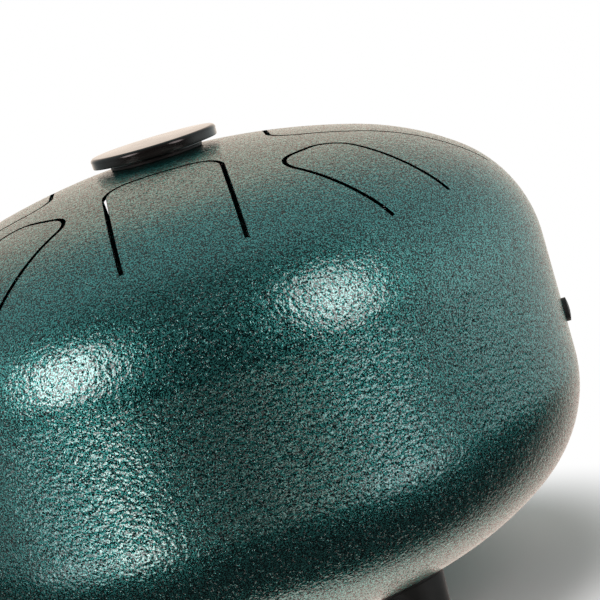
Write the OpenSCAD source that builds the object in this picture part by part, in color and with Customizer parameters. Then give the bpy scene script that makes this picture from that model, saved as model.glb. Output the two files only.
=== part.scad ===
// Steel tongue drum, millimetres, +Z up. The drum stands on its four feet at z = 0,
// and its axis of revolution is the Z axis. Tongue 1 faces -Y, and the numbers
// run on towards +X. Two equal pressed steel heads meet at the waist.

/* [Body] */
// Diameter across the waist
body_d = 305; // [290:1:325]
// Outer radius of the crown's arc
crown_r = 320; // [300:1:345]
// Distance from the axis at which the crown's arc ends
crown_edge_r = 89.6; // [84:0.2:96]
// Outer radius of the knuckle that turns into the waist
knuckle_r = 57.25; // [52:0.25:62]
// How far in from the waist the knuckle reaches before the shoulder begins
knuckle_run = 22.9; // [20:0.1:26]
// Height of the straight band around the waist, both heads together
waist_h = 53.2; // [40:0.2:64]
// Thickness of the sheet steel
wall_t = 1.8; // [1.2:0.1:2.4]
// Radius of the weld bead inside the waist seam
weld_r = 1.6; // [1:0.1:2.5]

/* [Tongues] */
// Width of the cut around each tongue
kerf = 1.6; // [1.2:0.1:2.2]
// Radius of the cut's centre line at the two corners of a tongue's tip
tip_corner_r = 12.5; // [9:0.5:15]
// Hairline at the root, where the sprung tongue is told apart from the shell
root_gap = 0.1; // [0.05:0.01:0.2]

/* [Centre cap] */
// Diameter of the cap's disc
cap_d = 56.8; // [50:0.2:64]
// Height of the disc's side
cap_h = 4.8; // [4:0.1:5.6]
// Radius of the round on the disc's top edge
cap_edge_r = 1.2; // [0.6:0.1:1.6]
// Radius of the slight dome on the disc
cap_dome_r = 520; // [400:10:800]
// Gap between the disc's underside and the top of the crown
cap_lift = 2; // [1.6:0.1:2.6]
// Diameter of the neck under the disc
neck_d = 41; // [34:1:46]
// Diameter of the hole in the crown that the cap closes
crown_hole_d = 25; // [20:1:28]
// Free thickness of the gasket above the top of the crown
gasket_t = 0.8; // [0.4:0.1:1]
// Diameter of the large washer inside the crown
cap_washer_d = 36; // [32:1:42]
// Thickness of the large washer
cap_washer_t = 1.5; // [1:0.1:2.5]
// Shank diameter of the cap's screw
cap_screw_d = 5; // [4:0.5:6]
// Wall of the cap left above the screw's hole
cap_skin = 1.6; // [1:0.1:2]

/* [Side plug] */
// Diameter of the plug's head
plug_d = 10.5; // [9:0.5:14]
// Height of the head's edge over the waist
plug_edge_h = 1.8; // [1.4:0.1:2.2]
// Height of the head's slightly domed middle over the waist
plug_proud = 2.5; // [2.3:0.1:3.4]
// Diameter of the hole that the plug closes
plug_hole_d = 7; // [5:0.5:8]
// Angle of the plug around the drum, from -Y towards +X
plug_angle = 82; // [70:1:110]
// Depth of the plug's centre below the waist seam
plug_drop = 9; // [7:0.5:16]
// Length of the plug's barb inside the wall
plug_barb_l = 4; // [3:0.5:6]

/* [Sound port] */
// Diameter of the port in the bottom
port_d = 90; // [70:1:100]
// Thickness of the rubber edging over the sheet
trim_t = 1.5; // [1:0.1:2.5]
// How far the edging grips over the sheet
trim_grip = 5; // [4:0.5:7]
// How far the edging stands into the port
trim_lip = 2; // [1.5:0.1:3]

/* [Feet] */
// Gap between the table and the lowest point of the bottom's curve
foot_lift = 8; // [6:0.5:12]
// Radius of the circle on which the feet meet the shell
foot_ring_r = 72; // [66:1:76]
// Diameter of a foot where it meets the shell
foot_top_d = 32; // [28:1:36]
// Diameter of a foot at the table
foot_base_d = 25; // [22:1:28]
// Rubber left between the shell and the washer in the foot
foot_web = 7; // [5:0.5:9]
// Diameter of the recess for the screw's head
recess_d = 11; // [10:0.5:13]
// Shank diameter of the foot screws
foot_screw_d = 4; // [3:0.5:5]
// Outer diameter of the foot washers
foot_washer_d = 9; // [8.6:0.1:9.8]
// Thickness of the foot washers
foot_washer_t = 0.8; // [0.5:0.1:1.2]
// Width of the foot nuts across their flats
nut_af = 7; // [6:0.5:9]
// Height of the foot nuts
nut_h = 3.2; // [2.4:0.1:5]

/* [Hidden] */
$fn = 96;
over = 1;              // overrun of every cut past the faces that it opens
seat_gap = 0.05;       // clearance where a curved face seats on another
hole_play = 0.15;      // radial clearance of a shank or stem in its hole
trim_play = 0.1;       // clearance of the edging on each face of the sheet
lap_angle = 5;         // degrees by which neighbouring wedges of the section overlap
cut_step = 0.01;       // step to which the tongues' cut sizes are rounded
head_rise = 2.6;       // height of a pan head above its washer
head_ratio_share = 1.9;      // pan head diameter as a share of its shank's
recess_depth_share = 0.45;   // depth of a driver's cross as a share of the head's rise
cross_width_share = 0.22;    // width of a driver's cross as a share of the shank
screw_past_nut = 1.4;  // thread that shows past the nut

body_r = body_d / 2;
band_h = waist_h / 2;

// The section is three arcs, each tangent to the next where it ends: crown, shoulder, knuckle.
// Angles are from the axis, and centres are [distance from the axis, height above the seam].
crown_angle = asin(crown_edge_r / crown_r);
shoulder_angle = asin(1 - knuckle_run / knuckle_r);
shoulder_r = (body_r - knuckle_run - crown_edge_r) / (sin(shoulder_angle) - sin(crown_angle));
knuckle_c = [body_r - knuckle_r, band_h];
shoulder_c = knuckle_c - (shoulder_r - knuckle_r) * [sin(shoulder_angle), cos(shoulder_angle)];
crown_c = shoulder_c - (crown_r - shoulder_r) * [sin(crown_angle), cos(crown_angle)];
head_h = crown_c[1] + crown_r;
seam_z = foot_lift + head_h;
top_z = seam_z + head_h;

// Height above the seam of the crown arc set in by inset, at a distance from the axis
function crown_height(distance, inset) = crown_c[1] + sqrt(pow(crown_r - inset, 2) - pow(distance, 2));
function sag(distance, radius) = radius - sqrt(pow(radius, 2) - pow(distance, 2));
function cut_size(share) = round(share * body_r / cut_step) * cut_step;

// The eight tongues, anticlockwise seen from above, as shares of the body's radius:
// [tip, root, half width], on the cut's centre line. Cut sizes are rounded to cut_step.
tongue_shares = [
    [0.310, 0.815, 0.167],
    [0.538, 0.898, 0.124],
    [0.320, 0.891, 0.160],
    [0.525, 0.885, 0.126],
    [0.315, 0.855, 0.204],
    [0.520, 0.870, 0.121],
    [0.321, 0.905, 0.164],
    [0.488, 0.876, 0.130]
];
tongue_count = len(tongue_shares);
tongue_step = 360 / tongue_count;

// Heights of the centre cap's faces above the top of the crown
washer_top = -wall_t - sag(cap_washer_d / 2, crown_r - wall_t) - seat_gap;
washer_bottom = washer_top - cap_washer_t;
spigot_bottom = washer_top + seat_gap;
cap_top = cap_lift + cap_h;
cap_dome_rise = sag(cap_d / 2 - cap_edge_r, cap_dome_r);
cap_hole_top = cap_top - cap_skin;
cap_head_rise = head_rise * cap_screw_d / foot_screw_d;

// Foot: angle of its axis from the vertical, and how far the table lies along that axis
foot_count = 4;
foot_tilt = asin(foot_ring_r / crown_r);
foot_length = (foot_lift + sag(foot_ring_r, crown_r)) / cos(foot_tilt);
foot_slope = (foot_top_d - foot_base_d) / 2 / foot_length;
foot_head_base = crown_r + foot_web + foot_washer_t;
port_tilt = asin(port_d / 2 / crown_r);

// A wedge of a disc in the half section, between two angles from the axis
module wedge(centre, radius, from_angle, to_angle) {
    reach = radius * 2;
    middle = (from_angle + to_angle) / 2;
    intersection() {
        translate(centre) circle(r = radius);
        translate(centre) polygon([[0, 0],
            reach * [sin(from_angle), cos(from_angle)],
            reach * [sin(middle), cos(middle)],
            reach * [sin(to_angle), cos(to_angle)]]);
    }
}

// Half section of one head as a solid, set in from the outer face by inset
// Each arc's wedge laps over the next larger one, inside it, so that they join as one face.
module head_section(inset) {
    intersection() {
        union() {
            square([body_r - inset, band_h]);
            wedge(knuckle_c, knuckle_r - inset, shoulder_angle - lap_angle, 90 + lap_angle);
            wedge(shoulder_c, shoulder_r - inset, crown_angle - lap_angle, shoulder_angle);
            wedge(crown_c, crown_r - inset, -lap_angle, crown_angle);
        }
        square([body_r, head_h]);
    }
}

// One pressed head: its wall only, open at the seam
module head_wall() {
    rotate_extrude($fn = 180)
        difference() {
            head_section(0);
            union() {
                head_section(wall_t);
                translate([0, -over]) square([body_r - wall_t, over + band_h / 2]);
            }
        }
}

// Plan of a tongue with its tip towards the axis and its root short by trim,
// grown by grow beyond the cut's centre line
module tongue_plan(shares, trim, grow) {
    tip = cut_size(shares[0]) - grow;
    root = cut_size(shares[1]) - trim;
    half = cut_size(shares[2]) + grow;
    corner = tip_corner_r + grow;
    mirror([0, 1]) {
        translate([-half, tip + corner]) square([half * 2, root - tip - corner]);
        translate([corner - half, tip]) square([(half - corner) * 2, root - tip]);
        for (side = [-1, 1]) translate([side * (half - corner), tip + corner]) rotate(90) circle(r = corner);
    }
}

module tongue_prism(index, trim, grow) {
    translate([0, 0, seam_z]) rotate([0, 0, index * tongue_step])
        linear_extrude(height = head_h + over) tongue_plan(tongue_shares[index], trim, grow);
}

module upper_shell() {
    color("darkslategray")
        difference() {
            translate([0, 0, seam_z]) head_wall();
            for (i = [0 : tongue_count - 1]) tongue_prism(i, 0, kerf / 2);
            translate([0, 0, seam_z]) cylinder(h = head_h + over, d = crown_hole_d);
        }
}

module tongue(index) {
    color("teal")
        intersection() {
            translate([0, 0, seam_z]) head_wall();
            tongue_prism(index, root_gap, -kerf / 2);
        }
}

// Places children with +Z along the outward normal of the bottom's crown
module on_bottom(tilt, turn) {
    translate([0, 0, seam_z - crown_c[1]])
        rotate([0, 0, turn]) rotate([0, 180 - tilt, 0]) children();
}

module at_feet() {
    for (i = [0 : foot_count - 1]) at_foot(i) children();
}

module at_foot(index) {
    on_bottom(foot_tilt, (index + 1 / 2) * 360 / foot_count) children();
}

// Places children with +Z along the plug's axis, at the waist's outer face
module at_plug() {
    translate([0, 0, seam_z - plug_drop]) rotate([0, 0, plug_angle - 90])
        translate([body_r, 0, 0]) rotate([0, 90, 0]) children();
}

module lower_shell() {
    color("darkslategray")
        difference() {
            translate([0, 0, seam_z]) mirror([0, 0, 1]) head_wall();
            cylinder(h = seam_z, d = port_d);
            at_feet() translate([0, 0, crown_r - wall_t - over])
                cylinder(h = wall_t + over * 2, r = foot_screw_d / 2 + hole_play);
            at_plug() translate([0, 0, -wall_t - over])
                cylinder(h = wall_t + over * 2, d = plug_hole_d);
        }
}

// Weld bead inside the seam: the inner half of a round bead that lies on both heads
module seam_weld() {
    color("dimgray")
        translate([0, 0, seam_z])
            rotate_extrude($fn = 180)
                translate([body_r - wall_t, 0])
                    intersection() {
                        circle(r = weld_r);
                        translate([-weld_r, -weld_r]) square([weld_r, weld_r * 2]);
                    }
}

// Half section of the cap's disc with a rounded top edge and a slight dome
module cap_section() {
    rim = cap_d / 2;
    intersection() {
        translate([0, cap_lift]) {
            square([rim - cap_edge_r, cap_h + cap_dome_rise]);
            square([rim, cap_h - cap_edge_r]);
            translate([rim - cap_edge_r, cap_h - cap_edge_r]) circle(r = cap_edge_r);
        }
        translate([0, cap_top + cap_dome_rise - cap_dome_r]) circle(r = cap_dome_r, $fn = 720);
        square([rim, cap_top + cap_dome_rise]);
    }
}

module centre_cap() {
    color("black")
        translate([0, 0, top_z])
            difference() {
                union() {
                    rotate_extrude() cap_section();
                    translate([0, 0, gasket_t]) cylinder(h = cap_h / 2 + cap_lift - gasket_t, d = neck_d);
                    translate([0, 0, spigot_bottom])
                        cylinder(h = gasket_t - spigot_bottom + cap_h / 2, r = crown_hole_d / 2 - hole_play);
                }
                translate([0, 0, spigot_bottom - over])
                    cylinder(h = cap_hole_top - spigot_bottom + over, r = cap_screw_d / 2 + seat_gap);
            }
}

// Gasket between the crown and the cap's neck, coned underneath to lie on the crown
module cap_gasket() {
    inner = crown_hole_d / 2;
    outer = neck_d / 2;
    color("black")
        translate([0, 0, seam_z])
            rotate_extrude()
                polygon([[inner, crown_height(inner, 0) + seat_gap], [outer, crown_height(outer, 0) + seat_gap],
                         [outer, head_h + gasket_t], [inner, head_h + gasket_t]]);
}

module ring(inner_r, outer_r, height) {
    difference() {
        cylinder(h = height, r = outer_r);
        translate([0, 0, -over]) cylinder(h = height + over * 2, r = inner_r);
    }
}

module cap_washer() {
    color("silver")
        translate([0, 0, top_z + washer_bottom])
            ring(cap_screw_d / 2 + hole_play, cap_washer_d / 2, cap_washer_t);
}

// Pan head screw with its head's seat at z = 0, the head towards +Z and the shank below
module pan_screw(shank_d, shank_l, rise) {
    head_r = shank_d * head_ratio_share / 2;
    cross_w = shank_d * cross_width_share;
    difference() {
        union() {
            intersection() {
                cylinder(h = rise, r = head_r);
                translate([0, 0, rise - head_r * 2]) sphere(r = head_r * 2);
            }
            translate([0, 0, -shank_l]) cylinder(h = shank_l + rise / 2, d = shank_d);
        }
        for (turn = [0, 90]) rotate([0, 0, turn])
            translate([-shank_d / 2, -cross_w / 2, rise * (1 - recess_depth_share)])
                cube([shank_d, cross_w, rise]);
    }
}

module cap_screw() {
    shank_l = cap_hole_top - seat_gap - washer_bottom;
    color("silver")
        translate([0, 0, top_z + washer_bottom]) mirror([0, 0, 1])
            pan_screw(cap_screw_d, shank_l, cap_head_rise);
}

// Rubber plug: a flat head with a slight dome, a stem through the wall and a barb inside
module side_plug() {
    head_r = plug_d / 2;
    dome_rise = plug_proud - plug_edge_h;
    dome_r = (pow(head_r, 2) + pow(dome_rise, 2)) / (2 * dome_rise);
    stem_r = plug_hole_d / 2 - hole_play;
    barb_swell = wall_t / 3;
    wall_in = -wall_t - hole_play;
    color("black")
        at_plug() {
            difference() {
                intersection() {
                    translate([0, 0, -over]) cylinder(h = plug_proud + over, r = head_r);
                    translate([0, 0, plug_proud - dome_r]) sphere(r = dome_r);
                }
                // The head's underside follows the waist
                translate([0, 0, -body_r]) rotate([0, 90, 0])
                    cylinder(h = plug_d * 2, r = body_r + seat_gap, center = true, $fn = 360);
            }
            translate([0, 0, wall_in]) cylinder(h = plug_proud / 2 - wall_in, r = stem_r);
            translate([0, 0, wall_in - plug_barb_l])
                cylinder(h = plug_barb_l, r1 = stem_r - barb_swell, r2 = stem_r + barb_swell * 2);
        }
}

// U-shaped edging around the port, gripping the sheet on both faces
module port_trim() {
    edge = [port_d / 2, -crown_height(port_d / 2, wall_t / 2)];
    half_t = wall_t / 2 + trim_t;
    slot_end = -trim_play - wall_t / 2 * sin(port_tilt);
    color("black")
        translate([0, 0, seam_z])
            rotate_extrude($fn = 180)
                translate(edge) rotate(port_tilt)
                    difference() {
                        union() {
                            translate([-trim_lip + half_t, -half_t]) square([trim_lip - half_t + trim_grip, half_t * 2]);
                            translate([-trim_lip + half_t, 0]) circle(r = half_t);
                        }
                        translate([slot_end, -wall_t / 2 - trim_play])
                            square([trim_grip + over - slot_end, wall_t + trim_play * 2]);
                    }
}

// Half section of a foot about its own axis, which starts at the centre of the crown's arc
module foot_section(long) {
    seat = over * 2;
    difference() {
        polygon([[0, crown_r - seat], [foot_top_d / 2 + seat * foot_slope, crown_r - seat],
                 [foot_top_d / 2 + (seat - long) * foot_slope, crown_r - seat + long], [0, crown_r - seat + long]]);
        circle(r = crown_r + seat_gap, $fn = 1440);
        translate([0, crown_r + foot_web]) square([recess_d / 2, long]);
        square([foot_screw_d / 2 + hole_play, crown_r + foot_web * 2]);
    }
}

// A rubber foot along the shell's normal, seated on the shell and cut flat at the table
module foot(index) {
    long = foot_length + foot_base_d;
    color("black")
        difference() {
            at_foot(index) rotate_extrude() foot_section(long);
            translate([-body_r, -body_r, -long]) cube([body_d, body_d, long]);
        }
}

module foot_washers() {
    color("silver")
        at_feet() translate([0, 0, crown_r + foot_web])
            ring(foot_screw_d / 2 + hole_play, foot_washer_d / 2, foot_washer_t);
}

module foot_screws() {
    shank_l = foot_head_base - crown_r + wall_t + seat_gap + nut_h + screw_past_nut;
    color("silver")
        at_feet() translate([0, 0, foot_head_base])
            pan_screw(foot_screw_d, shank_l, head_rise);
}

module foot_nuts() {
    color("silver")
        at_feet() translate([0, 0, crown_r - wall_t - seat_gap - nut_h])
            difference() {
                cylinder(h = nut_h, d = nut_af / cos(30), $fn = 6);
                translate([0, 0, -over]) cylinder(h = nut_h + over * 2, r = foot_screw_d / 2 + seat_gap);
            }
}

upper_shell();
lower_shell();
seam_weld();
tongue(0);  // tongue_1
tongue(1);  // tongue_2
tongue(2);  // tongue_3
tongue(3);  // tongue_4
tongue(4);  // tongue_5
tongue(5);  // tongue_6
tongue(6);  // tongue_7
tongue(7);  // tongue_8
centre_cap();
cap_gasket();
cap_washer();
cap_screw();
side_plug();
port_trim();
foot(0);  // foot_1
foot(1);  // foot_2
foot(2);  // foot_3
foot(3);  // foot_4
foot_washers();
foot_screws();
foot_nuts();
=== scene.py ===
# %% [markdown]
# # A steel tongue drum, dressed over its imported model
# A tongue drum is two pressed steel heads welded rim to rim. Eight tongues are cut into
# the upper head, and each one sings when it is struck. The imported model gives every
# piece its place and its body, so this script builds the looks around it and never
# moves it. All lengths are in metres, +Z is up, and the drum stands on z = 0.

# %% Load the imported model
import math

import bmesh
import bpy
import numpy as np
from mathutils import Matrix, Vector
from mathutils.geometry import delaunay_2d_cdt


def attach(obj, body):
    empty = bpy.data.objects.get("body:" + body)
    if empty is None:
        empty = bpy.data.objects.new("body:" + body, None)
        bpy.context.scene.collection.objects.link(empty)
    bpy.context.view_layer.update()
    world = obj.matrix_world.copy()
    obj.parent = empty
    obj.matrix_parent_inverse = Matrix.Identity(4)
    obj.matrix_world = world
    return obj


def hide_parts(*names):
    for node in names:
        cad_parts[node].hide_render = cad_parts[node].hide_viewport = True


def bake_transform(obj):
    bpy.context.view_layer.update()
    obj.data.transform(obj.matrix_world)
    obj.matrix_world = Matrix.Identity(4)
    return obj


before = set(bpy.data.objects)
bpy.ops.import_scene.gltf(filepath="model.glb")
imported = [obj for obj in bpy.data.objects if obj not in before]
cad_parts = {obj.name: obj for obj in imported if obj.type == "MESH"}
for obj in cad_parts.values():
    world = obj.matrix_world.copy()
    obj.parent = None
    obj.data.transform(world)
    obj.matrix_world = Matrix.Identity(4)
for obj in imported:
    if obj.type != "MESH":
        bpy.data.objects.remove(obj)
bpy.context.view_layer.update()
MM_PER_M = 1000
ML_PER_M3 = 1e6

# %% [markdown]
# ## The camera
# The photograph was taken with a long lens from a little above the drum, and it was
# turned in its frame, so that the drum seems to lean. The drum itself stands level.
# The camera is therefore aimed first and then rolled about its own line of sight.

# %% Aim the camera
SEAM_Z = 0.1132
CAMERA_AWAY = 1.04663
CAMERA_ROUND = 0.00887
CAMERA_RISE = 0.17582
CAMERA_TURN = 0.04040
CAMERA_NOD = 0.02430
CAMERA_ROLL = -0.28970
LENS_MM = 141.32
SENSOR_MM = 36
CLIP_NEAR = 0.05
CLIP_FAR = 20


def unit(vector):
    return np.asarray(vector, float) / np.linalg.norm(vector)


def aim_camera():
    level_in = [-math.sin(CAMERA_ROUND), math.cos(CAMERA_ROUND)]
    toward = np.array([*level_in, -math.tan(CAMERA_RISE)]) * math.cos(CAMERA_RISE)
    right = unit(np.cross(toward, [0, 0, 1]))
    above = np.cross(right, toward)
    ahead = toward * math.cos(CAMERA_TURN) * math.cos(CAMERA_NOD)
    ahead = ahead + right * math.sin(CAMERA_TURN) * math.cos(CAMERA_NOD)
    ahead = unit(ahead + above * math.sin(CAMERA_NOD))
    level = unit(np.cross(ahead, [0, 0, 1]))
    upright = np.cross(level, ahead)
    across = level * math.cos(CAMERA_ROLL) + upright * math.sin(CAMERA_ROLL)
    top = upright * math.cos(CAMERA_ROLL) - level * math.sin(CAMERA_ROLL)
    turn = Matrix([across, top, -ahead]).transposed().to_4x4()
    place = Vector(-CAMERA_AWAY * toward) + Vector((0, 0, SEAM_Z))
    data = bpy.data.cameras.new("camera")
    data.lens = LENS_MM
    data.sensor_width = SENSOR_MM
    data.clip_start = CLIP_NEAR
    data.clip_end = CLIP_FAR
    camera = bpy.data.objects.new("camera", data)
    camera.matrix_world = Matrix.Translation(place) @ turn
    bpy.context.scene.collection.objects.link(camera)
    bpy.context.scene.camera = camera
    return camera


camera = aim_camera()
print("camera at", [round(x, 4) for x in camera.location])

# %% [markdown]
# ## The section of a head
# A press leaves a head with smooth bends and no corner. Its section is three arcs,
# each tangent to the next: a shallow crown, a shoulder and a tight knuckle. A straight
# band then runs down to the seam. One function gives the height and the slope of the
# skin at any distance along it, so that every later piece lies on the same surface.

# %% The arcs of the section
BODY_R = 0.1525
WALL = 0.0018
BAND_H = 0.0266
CROWN_R = 0.320
CROWN_EDGE_R = 0.0896
KNUCKLE_R = 0.05725
KNUCKLE_RUN = 0.0229
CROWN_END = math.asin(CROWN_EDGE_R / CROWN_R)
SHOULDER_END = math.asin(1 - KNUCKLE_RUN / KNUCKLE_R)
KNUCKLE_END = math.pi / 2
SHOULDER_R = (BODY_R - KNUCKLE_RUN - CROWN_EDGE_R) / (math.sin(SHOULDER_END) - math.sin(CROWN_END))


def tangent(tighter, radius, lean):
    """Centre and radius of a wider arc that meets a tighter one at this lean without a corner."""
    x, z, tight = tighter
    away = radius - tight
    return x - away * math.sin(lean), z - away * math.cos(lean), radius


KNUCKLE = (BODY_R - KNUCKLE_R, BAND_H, KNUCKLE_R)
SHOULDER = tangent(KNUCKLE, SHOULDER_R, SHOULDER_END)
CROWN = tangent(SHOULDER, CROWN_R, CROWN_END)
CROWN_Z = CROWN[1]
# Centre, radius, and the lean where each arc starts and ends
ARCS = [
    (*CROWN, 0, CROWN_END),
    (*SHOULDER, CROWN_END, SHOULDER_END),
    (*KNUCKLE, SHOULDER_END, KNUCKLE_END),
]
HEAD_H = CROWN_Z + CROWN_R
TOP_Z = SEAM_Z + HEAD_H
print("radii of the arcs:", [round(arc[2] * MM_PER_M, 2) for arc in ARCS], "mm")
print("height of a head:", round(HEAD_H * MM_PER_M, 1), "mm")

# %% The skin at a distance along it
def run_of(radius):
    """Distance along the skin from the axis to a point at this radius, on the upper arcs."""
    radius = np.asarray(radius, float)
    result = np.zeros_like(radius)
    walked = 0
    for x, _, arc_r, start, end in ARCS:
        angle = np.clip(np.arcsin(np.clip((radius - x) / arc_r, -1, 1)), start, end)
        here = radius >= x + arc_r * math.sin(start)
        result = np.where(here, walked + arc_r * (angle - start), result)
        walked = walked + arc_r * (end - start)
    return result


def skin(run):
    """Radius and height over the seam at a run along the skin, and the normal's two parts."""
    run = np.asarray(run, float)
    walked = 0
    radius = np.zeros_like(run)
    height = np.zeros_like(run)
    lean = np.zeros_like(run)
    for x, z, arc_r, start, end in ARCS:
        angle = start + (run - walked) / arc_r
        here = run >= walked
        radius = np.where(here, x + arc_r * np.sin(angle), radius)
        height = np.where(here, z + arc_r * np.cos(angle), height)
        lean = np.where(here, angle, lean)
        walked = walked + arc_r * (end - start)
    band = run >= walked
    radius = np.where(band, BODY_R, radius)
    height = np.where(band, BAND_H - (run - walked), height)
    lean = np.where(band, KNUCKLE_END, lean)
    return radius, height, np.sin(lean), np.cos(lean)


FULL_RUN = float(run_of(BODY_R)) + BAND_H
print("skin from the axis to the seam:", round(FULL_RUN * MM_PER_M, 1), "mm")

# %% [markdown]
# ## Laying the upper head out flat
# The slots are cut straight down, so they are drawn in plan. A mesh of good triangles is
# made on the flattened skin, with the edges of the slots as fixed lines in it. Every
# point is then lifted onto the arcs, and it takes the exact normal of the surface, which
# keeps the reflections on glossy paint free of facets.

# %% Plans of the slots
KERF = 0.0016
EDGE_R = 0.00025
TIP_CORNER_R = 0.0125
HOLE_R = 0.0125
SIDE_STEP = 0.0024
CORNER_STEPS = 14
# Tip, root and half width of each tongue, in metres, on the middle of the cut
TONGUES = [
    (0.04727, 0.12429, 0.02547),
    (0.08205, 0.13694, 0.01891),
    (0.04880, 0.13588, 0.02440),
    (0.08006, 0.13496, 0.01922),
    (0.04804, 0.13039, 0.03111),
    (0.07930, 0.13268, 0.01845),
    (0.04895, 0.13801, 0.02501),
    (0.07442, 0.13359, 0.01983),
]
TONGUE_STEP = math.tau / len(TONGUES)
print("lengths of the tongues:", [round((root - tip) * MM_PER_M) for tip, root, _ in TONGUES], "mm")


def stretch(start, end, step):
    """Points from start up to but not including end, about step apart."""
    start = np.asarray(start, float)
    end = np.asarray(end, float)
    count = max(1, round(np.linalg.norm(end - start) / step))
    return [start + (end - start) * i / count for i in range(count)]


def corner(centre, radius, first, last):
    angles = np.linspace(first, last, CORNER_STEPS + 1)[:-1]
    return [np.asarray(centre) + radius * np.array([math.cos(a), math.sin(a)]) for a in angles]


def tongue_side(tip, root, half, grow):
    """One edge of the slot, from the root at the left, round the tip, to the root at the right."""
    side = half + grow
    bend = TIP_CORNER_R + grow
    front = tip - grow
    inner = side - bend
    points = stretch([-side, root], [-side, front + bend], SIDE_STEP)
    points += corner([-inner, front + bend], bend, math.pi, 1.5 * math.pi)
    points += stretch([-inner, front], [inner, front], SIDE_STEP)
    points += corner([inner, front + bend], bend, -math.pi / 2, 0)
    points += stretch([side, front + bend], [side, root], SIDE_STEP)
    points.append(np.array([side, root]))
    return np.array(points)


# %% The eight cuts
def outward(points):
    """Directions square to a line of points, to the right of it."""
    steps = np.gradient(points, axis=0)
    steps = steps / np.linalg.norm(steps, axis=1, keepdims=True)
    return np.stack([steps[:, 1], -steps[:, 0]], axis=1)


def to_plan(points, index):
    """From a tongue's own across and out to the drum's X and Y."""
    angle = index * TONGUE_STEP
    across = np.array([math.cos(angle), math.sin(angle)])
    out = np.array([math.sin(angle), -math.cos(angle)])
    return points[:, :1] * across + points[:, 1:2] * out


class Slot:
    """The cut around one tongue, as two edges in plan with their directions into the cut."""

    def __init__(self, index):
        tip, root, half = TONGUES[index]
        grow = KERF / 2 + EDGE_R
        inner = tongue_side(tip, root, half, -grow)
        outer = tongue_side(tip, root + EDGE_R, half, grow)[::-1]
        inner_way = outward(inner)
        inner_way[0] = [-1, 0]
        inner_way[-1] = [1, 0]
        outer_way = outward(outer)
        outer_way[0] = [-1, -1]
        outer_way[-1] = [1, -1]
        # The head's edge begins and ends on the tongue's own corners at the root
        side = half - grow
        first = np.array([[side, root], [side, root + EDGE_R]])
        last = np.array([[-side, root + EDGE_R], [-side, root]])
        outer = np.vstack([first, outer, last])
        outer_way = np.vstack([[[1, 0], [1, -1]], outer_way, [[-1, -1], [-1, 0]]])
        middle = np.array(stretch([-side, root], [side, root], SIDE_STEP)[1:])
        self.inner = to_plan(inner, index)
        self.inner_way = to_plan(inner_way, index)
        self.outer = to_plan(outer, index)
        self.outer_way = to_plan(outer_way, index)
        self.root = to_plan(middle, index)
        self.out = to_plan(np.array([[0.0, 1.0]]), index)[0]
        self.root_at = root


slots = [Slot(i) for i in range(len(TONGUES))]
print("points on the eight cuts:", sum(len(s.inner) + len(s.outer) for s in slots))

# %% [markdown]
# The flattened skin is a disc: a point keeps its direction from the axis, and its
# distance becomes its run along the section. A constrained Delaunay triangulation keeps
# the slots' edges and fills the rest with an even lattice.

# %% Maths in the plane
TINY = 1e-9


def flatten(plan):
    """Points in plan, moved out to where they lie on the flattened skin."""
    radius = np.linalg.norm(plan, axis=1)
    return plan * (run_of(radius) / np.maximum(radius, TINY))[:, None]


def within(points, polygon):
    """Which points lie inside a polygon, by counting crossings."""
    x, y = points[:, 0][:, None], points[:, 1][:, None]
    ax, ay = polygon[:, 0], polygon[:, 1]
    bx, by = np.roll(ax, -1), np.roll(ay, -1)
    crosses = (ay > y) != (by > y)
    reach = (bx - ax) * (y - ay) / np.where(by == ay, TINY, by - ay) + ax
    return (np.sum(crosses & (x < reach), axis=1) % 2) == 1


def circle_points(radius, count):
    angles = np.arange(count) * math.tau / count
    return radius * np.stack([np.cos(angles), np.sin(angles)], axis=1)


def pairs_of(numbers, closed):
    """Each number with the next one, and the last with the first where the line is closed."""
    numbers = list(numbers)
    return list(zip(numbers, numbers[1:] + (numbers[:1] if closed else [])))


# %% Number the points and the lines that stay
RIM_STEPS = 400
HOLE_STEPS = 48


class Layout:
    """Points of the flattened head, numbered, with the lines that the triangles must keep."""

    def __init__(self):
        self.points = []
        self.lines = []

    def add(self, points):
        first = len(self.points)
        self.points.extend(points)
        return list(range(first, len(self.points)))

    def join(self, numbers, closed=False):
        self.lines.extend(pairs_of(numbers, closed))


layout = Layout()
rim = layout.add(circle_points(FULL_RUN, RIM_STEPS))
layout.join(rim, closed=True)
hole_run = float(run_of(HOLE_R))
hole = layout.add(circle_points(hole_run, HOLE_STEPS))
layout.join(hole, closed=True)
for slot in slots:
    slot.inner_at = layout.add(flatten(slot.inner))
    outer_at = layout.add(flatten(slot.outer[1:-1]))
    slot.outer_at = [slot.inner_at[-1]] + outer_at + [slot.inner_at[0]]
    root_at = layout.add(flatten(slot.root))
    slot.root_line = [slot.inner_at[0]] + root_at + [slot.inner_at[-1]]
    for line in (slot.inner_at, slot.outer_at, slot.root_line):
        layout.join(line)
print("fixed points:", len(layout.points), "and lines:", len(layout.lines))

# %% Fill the rest and make the triangles
TRIANGLE = 0.0036
LEAST_STEPS = 6
# How near a point may come to a fixed one, as a share of a triangle's side
CLEAR_SHARE = 0.45
# The gaps are worked out in this many parts, to save memory
CHUNKS = 12


def lattice():
    """Rings of points over the whole disc, each turned a little from the last."""
    rings = []
    ring_count = int(FULL_RUN / TRIANGLE)
    for k in range(1, ring_count):
        radius = k * FULL_RUN / ring_count
        count = max(LEAST_STEPS, round(math.tau * radius / TRIANGLE))
        c, s = math.cos(k), math.sin(k)
        rings.append(circle_points(radius, count) @ np.array([[c, s], [-s, c]]))
    return np.vstack(rings)


def clear_of(points, others, least):
    """The points that are further than least from all the others."""
    near = np.full(len(points), np.inf)
    for chunk in np.array_split(others, CHUNKS):
        gaps = np.linalg.norm(points[:, None] - chunk[None], axis=2).min(axis=1)
        near = np.minimum(near, gaps)
    return points[near > least]


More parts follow.
